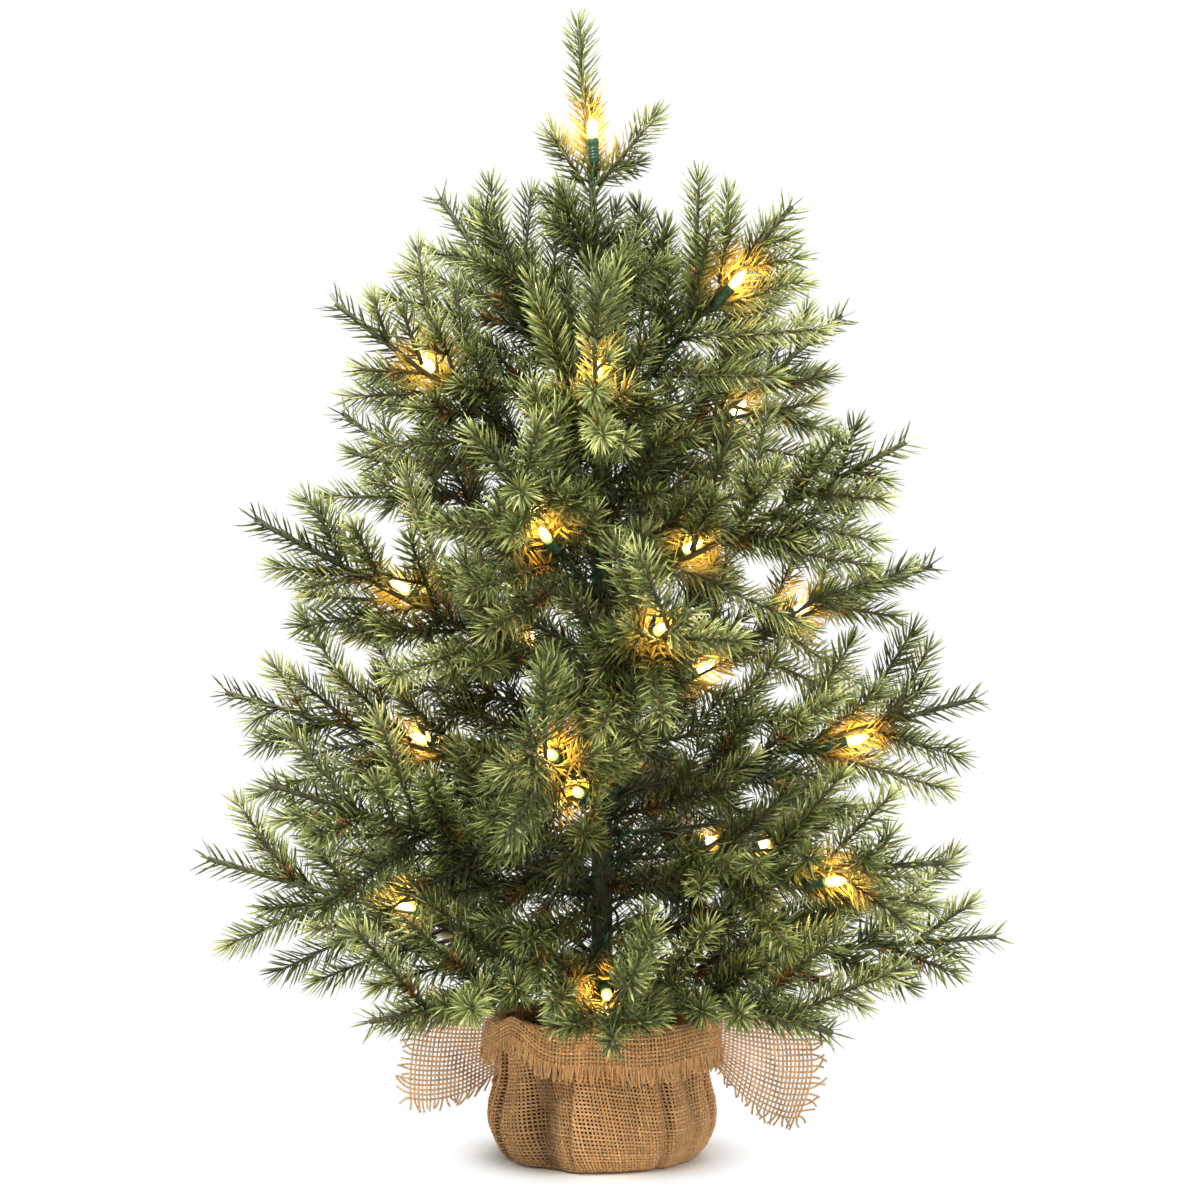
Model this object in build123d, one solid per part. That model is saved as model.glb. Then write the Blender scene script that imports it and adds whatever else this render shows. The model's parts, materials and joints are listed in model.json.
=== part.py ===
from build123d import *
import math
import os

# Artificial tabletop tree on a burlap-wrapped, weighted base.
# Millimetres, +Z up. The origin is the centre of the base, on the surface that it stands on.
# -Y is the front. Azimuths are in degrees from +X, counted towards +Y.

# ---------- driving dimensions ----------
WALL_GAP = 0.3            # running gap between a part and what it sits beside
FIT_GAP = 0.05            # gap round a part that is cast or pressed in place

# base
TUB_FLOOR_RADIUS = 46.0
TUB_RIM_RADIUS = 51.5
TUB_HEIGHT = 48.8
TUB_WALL = 1.8
SACK_WALL = 1.5
SACK_FLOOR = 1.2
SACK_FOOT_RADIUS = 50.0
SACK_BELLY_RADIUS = 59.0
SACK_BELLY_HEIGHT = 30.0
SACK_NECK_RADIUS = 56.0
SACK_NECK_HEIGHT = 54.0
CUFF_LOW = 55.0
CUFF_TOP = 74.5
CUFF_WALL = 1.5
TIE_HEIGHT = 59.0
TIE_RADIUS = 1.2
EAR_THICKNESS = 2.0

# trunk
POLE_RADIUS = 5.5
POLE_TOP = 430.0
POLE_BURIED = 40.0        # length of pole inside the ballast
BINDING_RADIUS = 7.2
BINDING_HEIGHT = 9.0

# branches
STEM_ROOT_RADIUS = 2.2
STEM_TIP_RADIUS = 1.4
SPRIG_ROOT_RADIUS = 2.0
SPRIG_TIP_RADIUS = 0.8
TIP_SPRIG = 58.0          # bare length of the last sprig, beyond the last fork
FORK_FIRST = 42.0         # distance of the first fork from the branch's root
FORK_FIRST_SHARE = 0.27   # or this share of the branch's length, where that is less
FORK_YAW = 41.0           # angle between the first sprig and its stem, degrees
FORK_YAW_DROP = 4.0       # how much less that angle is at the last fork
WIDEST = 0.35             # share of the forks at which the sprigs are longest
FIRST_REACH = 0.8         # first sprig's length, as a share of the longest
LAST_REACH = 0.7          # last side sprig's length, as a share of the longest
RIDGE_PLACE = 0.45        # where the sprig that stands off the spray starts, as a share of the forks
RIDGE_REACH = 0.7         # its length, as a share of the longest
FORK_PITCHES = (7, 3, -4, 5, -2, 4, -3)   # lift of each sprig out of the spray's plane, degrees
SEAT_GAP = 0.1            # gap between parts that rest on each other

# light string
LEAD_RADIUS = 0.75
STRING_CENTRE_RADIUS = 8.9
HOLDER_RADIUS = 3.0
HOLDER_LENGTH = 13.0
BULB_RADIUS = 2.7
BULB_LENGTH = 12.0
LEAD_GAP = 0.15           # gap between a stem and the lead beside it
HOLDER_GAP = 0.25         # gap between a stem and the lamp holder beside it
LEAD_START = 1.0          # distance of a lead's start from the branch's root
STRING_START = 20.0       # height above the ballast at which the lead starts round the trunk
STRING_STEP = 45          # degrees round the trunk between two points of the lead's route
LEAD_EXIT = 9.0           # height of the lead's hole above the case's foot

# battery case
CASE_LENGTH = 66.0
CASE_DEPTH = 33.0
CASE_HEIGHT = 17.0
CASE_WALL = 1.5
CASE_FRONT = 7.8          # distance of the case's front face behind the trunk's axis
DECK = 1.2                # thickness of the case's top over the switch's bay
CELL_RADIUS = 7.2
CELL_LENGTH = 48.6
CELL_SIDE_GAP = 0.15      # half the gap between the two cells
TERMINAL_RADIUS = 2.6
TERMINAL_LENGTH = 1.4
SPRING_LENGTH = 2.6
SPRING_RADIUS = 4.0
CONTACT_PLATE = 0.4
CONTACT_HEIGHT = 12.0
SWITCH_BAY = 7.5          # length of the switch's own bay inside the case
COVER_THICKNESS = 1.6
COVER_LIP = 0.6           # depth of the cover's lip inside the case
KNOB_TRAVEL = 4.0
KNOB_CAP = (4.6, 5.2, 3.0)
KNOB_TANG = (2.4, 4.0)
KNOB_CLEARANCE = 0.2      # gap between the knob's cap and the case

BALLAST_TOP = SACK_FLOOR + TUB_HEIGHT
CASE_FLOOR = BALLAST_TOP

# Whorls, from the lowest up: one row a branch. Azimuth and roll are in degrees. The tip's place is its
# distance from the trunk's axis and its height. The longest sprig is the one at the first fork.
#        azimuth, root height, tip distance, tip height, roll, forks, longest sprig
BRANCH_ROWS = [
    (186, 98, 204, 156, -34, 7, 76),
    (230, 92, 170, 90, 12, 6, 66),
    (272, 91, 150, 82, 0, 6, 54),
    (311, 92, 166, 84, -12, 6, 64),
    (354, 98, 204, 116, 26, 7, 76),
    (120, 140, 196, 158, 18, 7, 70),
    (221, 140, 206, 202, 20, 7, 74),
    (319, 140, 212, 166, -20, 7, 74),
    (46, 140, 206, 170, -18, 7, 72),
    (176, 188, 199, 240, 36, 7, 74),
    (259, 188, 176, 220, 6, 7, 62),
    (356, 188, 194, 238, -36, 7, 74),
    (84, 184, 186, 204, 0, 7, 68),
    (209, 240, 193, 328, 28, 7, 72),
    (284, 242, 166, 284, -8, 7, 58),
    (24, 240, 200, 308, -28, 7, 70),
    (118, 240, 180, 294, 16, 7, 66),
    (152, 292, 162, 392, -32, 6, 66),
    (250, 290, 140, 354, 10, 6, 56),
    (340, 292, 162, 368, -30, 6, 66),
    (68, 290, 158, 362, 0, 6, 62),
    (194, 344, 140, 440, 32, 6, 66),
    (268, 340, 112, 414, -8, 6, 56),
    (24, 342, 143, 444, 30, 6, 66),
    (160, 388, 92, 504, 34, 5, 74),
    (342, 390, 102, 490, -34, 5, 74),
]

# Lamps on the branches: branch number, distance of the holder's foot along the stem, and the side of the
# spray that it sits on (1 above, -1 below). A branch has at most one lamp a side.
LAMP_ROWS = [
    (1, 80, 1), (1, 56, -1), (3, 40, 1), (8, 124, -1), (9, 60, 1), (9, 100, -1), (10, 72, 1),
    (11, 100, 1), (11, 40, -1), (12, 108, -1), (13, 70, 1), (13, 110, -1), (14, 100, 1),
    (15, 90, 1), (16, 100, 1), (16, 32, -1), (17, 60, 1), (17, 100, -1), (19, 64, -1),
    (20, 28, 1), (22, 88, 1), (23, 80, 1), (24, 68, -1), (26, 72, -1),
]

# leader: the upright end of the trunk, with its own sprigs
LEADER_FOOT = POLE_TOP + WALL_GAP + STEM_ROOT_RADIUS
LEADER_FORK = 530.0       # height where the leader's bare tip sprig starts
LEADER_TIP = (-13.0, 0.0, 600.0)
# sprigs of the leader: height of the fork, azimuth, rise above the horizontal, length
LEADER_ROWS = [
    (442, 30, 62, 66), (445, 100, 62, 60), (448, 186, 62, 60), (452, 234, 56, 60),
    (464, 64, 52, 52), (470, 222, 50, 50), (498, 176, 60, 52), (502, 8, 50, 64),
]
# the leader's lamp: height of its holder's foot, and azimuth
LEADER_LAMP = (516, 300)

# ears: the sack cloth's corners, drawn in the plane Y = EAR_PLANE as pairs of
# (distance out from the cuff, height)
EAR_PLANE = -5.0
EAR_LEFT = [(0, 73), (0, 56), (13.4, 36), (53.4, 28), (45.4, 58), (32.4, 87), (11.4, 80)]
EAR_RIGHT = [(0, 73), (0, 56), (9.4, 36), (56.4, 19), (55.4, 46), (52.4, 66), (29.4, 78), (9.4, 80)]


# ---------- the tree's lay-out ----------
def unit(azimuth, rise):
    """The direction at that azimuth and that angle above the horizontal, both in degrees."""
    a = math.radians(azimuth)
    e = math.radians(rise)
    return Vector(math.cos(a) * math.cos(e), math.sin(a) * math.cos(e), math.sin(e))


def root_of(row):
    """The centre of a branch's round root, which is the point that its wire bends about."""
    azimuth, root_height = row[:2]
    out = BINDING_RADIUS + WALL_GAP + STEM_ROOT_RADIUS
    return unit(azimuth, 0) * out + Vector(0, 0, root_height)


def spray_of(row):
    """A branch's root, its length, and its forward, side and upper directions."""
    azimuth, root_height, tip_distance, tip_height, roll = row[:5]
    root = root_of(row)
    tip = unit(azimuth, 0) * tip_distance + Vector(0, 0, tip_height)
    forward = (tip - root).normalized()
    level = unit(azimuth + 90, 0)
    lift = forward.cross(level)
    r = math.radians(roll)
    side = level * math.cos(r) + lift * math.sin(r)
    upper = lift * math.cos(r) - level * math.sin(r)
    return root, (tip - root).length, forward, side, upper


def stem_radius(share):
    return STEM_ROOT_RADIUS + (STEM_TIP_RADIUS - STEM_ROOT_RADIUS) * share


def lamp_sides(number):
    return [side for branch, _, side in LAMP_ROWS if branch == number]


def sprigs_of(number, row):
    """Each sprig of a branch as (foot, direction, length); the last one carries the stem on."""
    forks, longest = row[5:7]
    root, length, forward, side, upper = spray_of(row)
    bare = length - TIP_SPRIG
    first = min(FORK_FIRST, FORK_FIRST_SHARE * length)
    sprigs = []
    for k in range(forks):
        share = k / (forks - 1)
        along = first + (bare - first) * share
        hand = 1 if k % 2 else -1
        yaw = math.radians(FORK_YAW - FORK_YAW_DROP * share)
        pitch = math.radians(FORK_PITCHES[k])
        way = forward * math.cos(yaw) + side * (hand * math.sin(yaw))
        way = way * math.cos(pitch) + upper * math.sin(pitch)
        start = (stem_radius(along / length) + SEAT_GAP + SPRIG_ROOT_RADIUS * math.cos(yaw))
        start = start / math.sin(yaw)
        swell = FIRST_REACH + (1 - FIRST_REACH) * min(1, share / WIDEST)
        swell -= (1 - LAST_REACH) * max(0, share - WIDEST) / (1 - WIDEST)
        reach = longest * swell
        sprigs.append((root + forward * along + way * start, way, reach - start))
    droops = forward.Z < 0
    free = [s for s in (1, -1) if s not in lamp_sides(number) and not (droops and s < 0)]
    if free:
        # one more sprig stands off the middle of the spray, on the side that has no lamp
        along = first + (bare - first) * RIDGE_PLACE
        yaw = math.radians(FORK_YAW)
        way = forward * math.cos(yaw) + upper * (free[0] * math.sin(yaw))
        start = (stem_radius(along / length) + SEAT_GAP + SPRIG_ROOT_RADIUS * math.cos(yaw))
        start = start / math.sin(yaw)
        sprigs.append((root + forward * along + way * start, way, RIDGE_REACH * longest - start))
    sprigs.append((root + forward * bare, forward, TIP_SPRIG))
    return sprigs


def leader_line():
    foot = Vector(0, 0, LEADER_FOOT)
    tip = Vector(*LEADER_TIP)
    return foot, (tip - foot).normalized(), (tip - foot).length


def leader_sprigs():
    """The leader's sprigs as (foot, direction, length), the bare tip last."""
    foot, forward, length = leader_line()
    sprigs = []
    for height, azimuth, rise, reach in LEADER_ROWS:
        along = (height - LEADER_FOOT) / forward.Z
        way = unit(azimuth, rise)
        yaw = math.acos(way.dot(forward))
        start = (stem_radius(along / length) + SEAT_GAP + SPRIG_ROOT_RADIUS * math.cos(yaw))
        start = start / math.sin(yaw)
        sprigs.append((foot + forward * along + way * start, way, reach - start))
    along = (LEADER_FORK - LEADER_FOOT) / forward.Z
    sprigs.append((foot + forward * along, forward, length - along))
    return sprigs


# ---------- solids ----------
def turned(points, place):
    """A solid of revolution from (radius, height) points, stood on the given plane."""
    corners = [(0, points[0][1])] * (points[0][0] > 0) + list(points)
    corners += [(0, points[-1][1])] * (points[-1][0] > 0)
    face = make_face(Polyline(*[(r, 0, z) for r, z in corners], close=True))
    return place.location * revolve(face, Axis.Z)


def cone(foot, way, length, low, high):
    return Solid.make_cone(low, high, length, Plane(origin=foot, z_dir=way))


def stem_solid(foot, way, length):
    """A stem: a half-round foot about its bending point, then a slender taper."""
    r = STEM_ROOT_RADIUS
    outline = Polyline((0, 0, length), (STEM_TIP_RADIUS, 0, length), (r, 0, 0))
    foot_arc = ThreePointArc((r, 0, 0), (r * math.sqrt(0.5), 0, -r * math.sqrt(0.5)), (0, 0, -r))
    axis_line = Line((0, 0, -r), (0, 0, length))
    face = make_face(outline + foot_arc + axis_line)
    return Plane(origin=foot, z_dir=way).location * revolve(face, Axis.Z)


def lamp_solids(root, forward, upper, along, side):
    """The lead from the root to a lamp, its holder and its bulb, all along the stem."""
    off = upper * side
    lead_axis = STEM_ROOT_RADIUS + LEAD_RADIUS + LEAD_GAP
    lamp_axis = STEM_ROOT_RADIUS + HOLDER_RADIUS + HOLDER_GAP
    lead_foot = root + forward * LEAD_START + off * lead_axis
    lead = Plane(origin=lead_foot, z_dir=forward).location * extrude(Circle(LEAD_RADIUS), along - LEAD_START)
    place = Plane(origin=root + forward * along + off * lamp_axis, z_dir=forward)
    h = HOLDER_LENGTH
    holder = turned([(HOLDER_RADIUS - 0.4, 0), (HOLDER_RADIUS, 2), (HOLDER_RADIUS, h)], place)
    bulb = turned(
        [(BULB_RADIUS, h), (BULB_RADIUS, h + 0.7 * BULB_LENGTH), (0.4 * BULB_RADIUS, h + BULB_LENGTH)],
        place,
    )
    return [lead, holder, bulb]


def write(name, solids):
    """One node: each given solid stays a separate solid in it."""
    loose = []
    for s in solids:
        loose += list(s.solids())
    export_step(Compound(children=loose), f"parts/{name}.step")


def branch_nodes():
    for number, row in enumerate(BRANCH_ROWS, 1):
        root, length, forward, side, upper = spray_of(row)
        solids = [stem_solid(root, forward, length - TIP_SPRIG)]
        for foot, way, reach in sprigs_of(number, row)[:-1]:
            solids.append(cone(foot, way, reach, SPRIG_ROOT_RADIUS, SPRIG_TIP_RADIUS))
        foot, way, reach = sprigs_of(number, row)[-1]
        solids.append(cone(foot, way, reach, STEM_TIP_RADIUS, SPRIG_TIP_RADIUS))
        write(f"branch_{number:02d}", solids)
        lamps = [r for r in LAMP_ROWS if r[0] == number]
        if lamps:
            solids = []
            for _, along, lamp_side in lamps:
                solids += lamp_solids(root, forward, upper, along, lamp_side)
            write(f"lamps_{number:02d}", solids)


def leader_nodes():
    foot, forward, length = leader_line()
    bare = (LEADER_FORK - LEADER_FOOT) / forward.Z
    solids = [stem_solid(foot, forward, bare)]
    for start, way, reach in leader_sprigs()[:-1]:
        solids.append(cone(start, way, reach, SPRIG_ROOT_RADIUS, SPRIG_TIP_RADIUS))
    start, way, reach = leader_sprigs()[-1]
    solids.append(cone(start, way, reach, STEM_TIP_RADIUS, SPRIG_TIP_RADIUS))
    write("leader", solids)
    height, azimuth = LEADER_LAMP
    along = (height - LEADER_FOOT) / forward.Z
    level = unit(azimuth, 0)
    out = (level - forward * level.dot(forward)).normalized()
    write("lamp_leader", lamp_solids(foot, forward, out, along, 1))


# ---------- trunk ----------
def whorl_heights():
    """The height of each whorl: branches whose roots are within a binding of each other share one."""
    heights = []
    for row in BRANCH_ROWS:
        if not heights or row[1] - heights[-1][-1] > 2 * BINDING_HEIGHT:
            heights.append([])
        heights[-1].append(row[1])
        heights[-1].sort()
    return [(h[0], h[-1]) for h in heights]


def trunk_nodes():
    pole_foot = BALLAST_TOP - POLE_BURIED
    pole = Pos(0, 0, pole_foot) * extrude(Circle(POLE_RADIUS), POLE_TOP - pole_foot)
    write("trunk_pole", [pole])
    rings = []
    for low, high in whorl_heights():
        tall = high - low + BINDING_HEIGHT
        ring = extrude(Circle(BINDING_RADIUS) - Circle(POLE_RADIUS + FIT_GAP), tall)
        rings.append(Pos(0, 0, low - BINDING_HEIGHT / 2) * ring)
    write("trunk_bindings", rings)


def string_points():
    """The lead winds once round the trunk from each whorl to the next, passing between the branches."""
    gaps = [(CASE_FLOOR + STRING_START, 180)]
    for low, high in whorl_heights():
        rows = [r for r in BRANCH_ROWS if low <= r[1] <= high]
        used = sorted(r[0] % 360 for r in rows)
        spans = [((b - a) % 360 or 360, a) for a, b in zip(used, used[1:] + used[:1])]
        wide, start = max(spans)
        gaps.append(((low + high) / 2, (start + wide / 2) % 360))
    points = []
    turn = gaps[0][1]
    for (z, azimuth), (z_next, azimuth_next) in zip(gaps, gaps[1:]):
        sweep = (azimuth_next - azimuth) % 360
        sweep += 360 * (sweep < 200)
        steps = round(sweep / STRING_STEP)
        for k in range(steps):
            share = k / steps
            place = unit(turn + sweep * share, 0) * STRING_CENTRE_RADIUS
            points.append(place + Vector(0, 0, z + (z_next - z) * share))
        turn += sweep
    points.append(unit(turn, 0) * STRING_CENTRE_RADIUS + Vector(0, 0, gaps[-1][0]))
    return points


# ---------- base ----------
def shell_profile(outer, inner):
    """The face between an outer and an inner outline, each a list of (radius, height)."""
    corners = [(r, 0, z) for r, z in outer + inner[::-1]]
    return make_face(Polyline(*corners, close=True))


def base_nodes():
    foot = SACK_FLOOR
    rim = foot + TUB_HEIGHT
    tub = revolve(
        shell_profile(
            [(0, foot), (TUB_FLOOR_RADIUS, foot), (TUB_RIM_RADIUS, rim)],
            [(0, foot + TUB_WALL), (TUB_FLOOR_RADIUS - TUB_WALL, foot + TUB_WALL),
             (TUB_RIM_RADIUS - TUB_WALL, rim)],
        ),
        Axis.Z,
    )
    write("base_tub", [tub])
    inner_foot = TUB_FLOOR_RADIUS - TUB_WALL - FIT_GAP
    inner_rim = TUB_RIM_RADIUS - TUB_WALL - FIT_GAP
    fill = turned([(inner_foot, foot + TUB_WALL), (inner_rim, rim)], Plane.XY)
    pole_foot = BALLAST_TOP - POLE_BURIED
    well = Pos(0, 0, pole_foot) * extrude(Circle(POLE_RADIUS + FIT_GAP), POLE_BURIED + 1)
    write("ballast", [fill - well])

    w = SACK_WALL
    neck_top = CUFF_TOP - CUFF_WALL - WALL_GAP
    belly_out = ThreePointArc(
        (SACK_FOOT_RADIUS, 0, 0),
        (SACK_BELLY_RADIUS, 0, SACK_BELLY_HEIGHT),
        (SACK_NECK_RADIUS, 0, SACK_NECK_HEIGHT),
    )
    belly_in = ThreePointArc(
        (SACK_FOOT_RADIUS - w, 0, SACK_FLOOR),
        (SACK_BELLY_RADIUS - w, 0, SACK_BELLY_HEIGHT),
        (SACK_NECK_RADIUS - w, 0, SACK_NECK_HEIGHT),
    )
    neck = Polyline(
        (SACK_NECK_RADIUS, 0, SACK_NECK_HEIGHT),
        (SACK_NECK_RADIUS, 0, neck_top),
        (SACK_NECK_RADIUS - w, 0, neck_top),
        (SACK_NECK_RADIUS - w, 0, SACK_NECK_HEIGHT),
    )
    floor = Polyline(
        (SACK_FOOT_RADIUS - w, 0, SACK_FLOOR), (0, 0, SACK_FLOOR), (0, 0, 0), (SACK_FOOT_RADIUS, 0, 0)
    )
    write("burlap_sack", [revolve(make_face(belly_out + neck + belly_in + floor), Axis.Z)])

    tie_ring = SACK_NECK_RADIUS + TIE_RADIUS + 0.1
    write("neck_tie", [Pos(0, 0, TIE_HEIGHT) * Solid.make_torus(tie_ring, TIE_RADIUS)])

    leg_out = tie_ring + TIE_RADIUS + WALL_GAP
    leg_in = SACK_NECK_RADIUS - w - WALL_GAP
    inner_low = CUFF_LOW + 4
    cuff = revolve(
        shell_profile(
            [(leg_in - CUFF_WALL, inner_low), (leg_in - CUFF_WALL, CUFF_TOP),
             (leg_out + CUFF_WALL, CUFF_TOP), (leg_out + CUFF_WALL, CUFF_LOW)],
            [(leg_in, inner_low), (leg_in, CUFF_TOP - CUFF_WALL), (leg_out, CUFF_TOP - CUFF_WALL),
             (leg_out, CUFF_LOW)],
        ),
        Axis.Z,
    )
    write("burlap_cuff", [cuff])
    ears = []
    ear_root = leg_out + CUFF_WALL + WALL_GAP
    for side, outline in ((-1, EAR_LEFT), (1, EAR_RIGHT)):
        points = [(side * (ear_root + out), EAR_PLANE, z) for out, z in outline]
        face = make_face(Polyline(*points, close=True))
        ears.append(extrude(face, EAR_THICKNESS, dir=(0, -1, 0)))
    write("burlap_ears", ears)


# ---------- battery case ----------
def battery_nodes():
    w = CASE_WALL
    middle = CASE_FRONT + CASE_DEPTH / 2
    x_low = -CASE_LENGTH / 2
    x_high = CASE_LENGTH / 2
    bay_low = x_high - w - SWITCH_BAY
    top = CASE_FLOOR + CASE_HEIGHT
    low_align = (Align.MIN, Align.CENTER, Align.MIN)
    shell = Pos(x_low, middle, CASE_FLOOR) * Box(CASE_LENGTH, CASE_DEPTH, CASE_HEIGHT, align=low_align)
    inside = Pos(x_low + w, middle, CASE_FLOOR + w)
    cells_bay = inside * Box(bay_low - w - x_low - w, CASE_DEPTH - 2 * w, CASE_HEIGHT, align=low_align)
    switch_bay = Pos(bay_low, middle, CASE_FLOOR + w) * Box(
        SWITCH_BAY, CASE_DEPTH - 2 * w, CASE_HEIGHT - w - DECK, align=low_align
    )
    knob_x = bay_low + SWITCH_BAY / 2
    tang_wide, tang_long = KNOB_TANG
    slot = Pos(knob_x, middle, top - DECK - 1) * Box(
        tang_wide + 2 * WALL_GAP, tang_long + KNOB_TRAVEL + 2 * WALL_GAP, DECK + 2,
        align=(Align.CENTER, Align.CENTER, Align.MIN),
    )
    wire_hole = Pos(-CASE_LENGTH / 4, CASE_FRONT - 1, CASE_FLOOR + LEAD_EXIT) * Rot(-90, 0, 0) * extrude(
        Circle(LEAD_RADIUS + WALL_GAP), w + 2
    )
    write("battery_case", [shell - cells_bay - switch_bay - slot - wire_hole])

    cover_long = bay_low - w - x_low
    plate = Pos(x_low, middle, top) * Box(cover_long, CASE_DEPTH, COVER_THICKNESS, align=low_align)
    lip_long = cover_long - 2 * w - 2 * WALL_GAP
    lip_wide = CASE_DEPTH - 2 * w - 2 * WALL_GAP
    lip = Pos(x_low + w + WALL_GAP, middle, top - COVER_LIP) * Box(
        lip_long, lip_wide, COVER_LIP, align=low_align
    )
    write("battery_cover", [plate + lip])

    cell_z = CASE_FLOOR + w + CELL_RADIUS + SEAT_GAP
    bay_long = bay_low - w - x_low - w
    cell_x = x_low + w + CONTACT_PLATE + SPRING_LENGTH
    cells = []
    contacts = []
    for hand in (-1, 1):
        y = middle + hand * (CELL_RADIUS + CELL_SIDE_GAP)
        end = CELL_LENGTH + TERMINAL_LENGTH
        body = turned(
            [(CELL_RADIUS, 0), (CELL_RADIUS, CELL_LENGTH), (TERMINAL_RADIUS, CELL_LENGTH),
             (TERMINAL_RADIUS, end)],
            Plane(origin=(cell_x, y, cell_z), z_dir=(1, 0, 0)),
        )
        cells.append(body)
        foot = Vector(x_low + w + CONTACT_PLATE, y, cell_z)
        coil = cone(foot, Vector(1, 0, 0), SPRING_LENGTH - SEAT_GAP, SPRING_RADIUS, TERMINAL_RADIUS)
        contacts.append(coil)
    plate_wide = 2 * (CELL_RADIUS + SPRING_RADIUS)
    for x in (x_low + w, x_low + w + bay_long - CONTACT_PLATE):
        contacts.append(
            Pos(x, middle, CASE_FLOOR + w) * Box(CONTACT_PLATE, plate_wide, CONTACT_HEIGHT, align=low_align)
        )
    write("battery_cells", cells)
    write("battery_contacts", contacts)

    knob_y = middle - KNOB_TRAVEL / 2
    upright = (Align.CENTER, Align.CENTER, Align.MIN)
    cap = Pos(knob_x, knob_y, top + KNOB_CLEARANCE) * Box(*KNOB_CAP, align=upright)
    tang_foot = top - DECK - 1.5
    tang = Pos(knob_x, knob_y, tang_foot) * Box(
        tang_wide, tang_long, top + KNOB_CLEARANCE + 0.1 - tang_foot, align=upright
    )
    write("switch_knob", [cap + tang])


def string_node():
    """The green lead: out of the battery case, then up round the trunk."""
    exit_x = -CASE_LENGTH / 4
    exit_z = CASE_FLOOR + LEAD_EXIT
    start = [Vector(exit_x, CASE_FRONT + 0.4, exit_z), Vector(exit_x, CASE_FRONT - 7, exit_z + 1)]
    points = start + string_points()
    radii = []
    for a, b, c in zip(points, points[1:], points[2:]):
        turn = math.radians((b - a).get_angle(c - b))
        radii.append(0.45 * min((b - a).length, (c - b).length) / math.tan(turn / 2))
    path = FilletPolyline(*points, radius=radii)
    print("lead route:", len(points), "points,", round(path.length), "mm long")
    print("tightest arc:", round(min(radii), 1), "mm")
    way = (points[1] - points[0]).normalized()
    lead = sweep(Plane(origin=points[0], z_dir=way) * Circle(LEAD_RADIUS), path=path)
    print("lead volume share:", round(lead.volume / (math.pi * LEAD_RADIUS**2 * path.length), 3))
    write("light_string", [lead])


os.makedirs("parts", exist_ok=True)
branch_nodes()
leader_nodes()
trunk_nodes()
base_nodes()
battery_nodes()
string_node()
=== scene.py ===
"""Looks of an artificial tabletop tree on a burlap-wrapped base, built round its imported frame.

Lengths in the making of a piece are in millimetres, and mesh_piece turns them into metres.
-Y is the front. Azimuths are in degrees from +X, counted towards +Y.
"""
import json
import math

import bpy
import numpy as np
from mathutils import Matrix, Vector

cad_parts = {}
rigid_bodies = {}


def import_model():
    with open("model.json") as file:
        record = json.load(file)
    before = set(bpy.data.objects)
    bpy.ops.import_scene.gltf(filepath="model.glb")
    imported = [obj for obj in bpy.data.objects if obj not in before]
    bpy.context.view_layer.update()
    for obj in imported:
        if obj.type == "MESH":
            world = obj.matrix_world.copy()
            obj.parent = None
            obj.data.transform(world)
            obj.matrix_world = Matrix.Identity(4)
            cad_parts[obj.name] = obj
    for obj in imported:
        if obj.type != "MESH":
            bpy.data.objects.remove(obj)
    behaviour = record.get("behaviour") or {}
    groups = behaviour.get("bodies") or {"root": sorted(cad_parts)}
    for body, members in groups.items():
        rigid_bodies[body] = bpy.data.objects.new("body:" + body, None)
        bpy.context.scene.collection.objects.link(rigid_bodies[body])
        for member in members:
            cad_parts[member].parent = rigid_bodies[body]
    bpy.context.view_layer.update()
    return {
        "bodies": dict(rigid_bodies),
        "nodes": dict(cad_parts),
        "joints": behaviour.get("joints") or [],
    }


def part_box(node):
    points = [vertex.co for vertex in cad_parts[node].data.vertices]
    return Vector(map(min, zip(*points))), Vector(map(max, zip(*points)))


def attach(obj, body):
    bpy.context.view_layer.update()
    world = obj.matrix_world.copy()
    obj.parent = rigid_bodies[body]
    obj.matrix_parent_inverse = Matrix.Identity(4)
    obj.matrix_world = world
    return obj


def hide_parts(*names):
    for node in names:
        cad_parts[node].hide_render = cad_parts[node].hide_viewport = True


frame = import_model()
MM = 0.001
NODES = frame["nodes"]
JOINTS = {j["child"]: j for j in frame["joints"]}
rng = np.random.default_rng(20)

# ---------- measures of the parts that only show ----------
NEEDLE_LENGTH = 14.0
NEEDLE_WIDTH = 1.2
NEEDLE_THICK = 0.4
ROW_PITCH = 3.0           # distance between rows of needles along a sprig
ROW_NEEDLES = 6
STEM_ROW_PITCH = 4.2
TIP_RUN = 9.0             # length of a sprig's end over which its needles fold forward
TRUNK_ROW_PITCH = 3.2
TRUNK_ROW_NEEDLES = 7
SACK_PITCH = 1.9          # distance between threads of the sack
EAR_PITCH = 2.0
THREAD_WIDTH = 0.93
THREAD_THICK = 0.62
THREAD_CORNERS = 4
TURNED_CORNERS = 24
GOLDEN_TURN = 2.39996     # radians from one needle or sprig to the next
TWIGS_A_SPRIG = 1
TWIGS_A_STEM = 10
TUFT = 9.5                # length of the needle tuft beyond a wire's own end
BUD_TONE = -9.0           # marks the needles of a brown bud
FRONT_EDGE = -174         # how far forward a twig may end
TRUNK_FOOT = 84.0         # where the pole's foliage starts
THIN_ROD = 1.2            # a lamp's lead is thinner at its foot
BULB_TIP = 2.9            # its bulb is thinner at its tip, its holder thicker
HOLDER_RADIUS = 3.0
GLOW_POWER = 0.11         # watts of the light in each lit bulb
EAR_PLANE = -6.0


# ---------- materials ----------
def new_material(name):
    material = bpy.data.materials.new(name)
    material.use_nodes = True
    nodes = material.node_tree.nodes
    return material, nodes, material.node_tree.links, nodes["Principled BSDF"]


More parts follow.
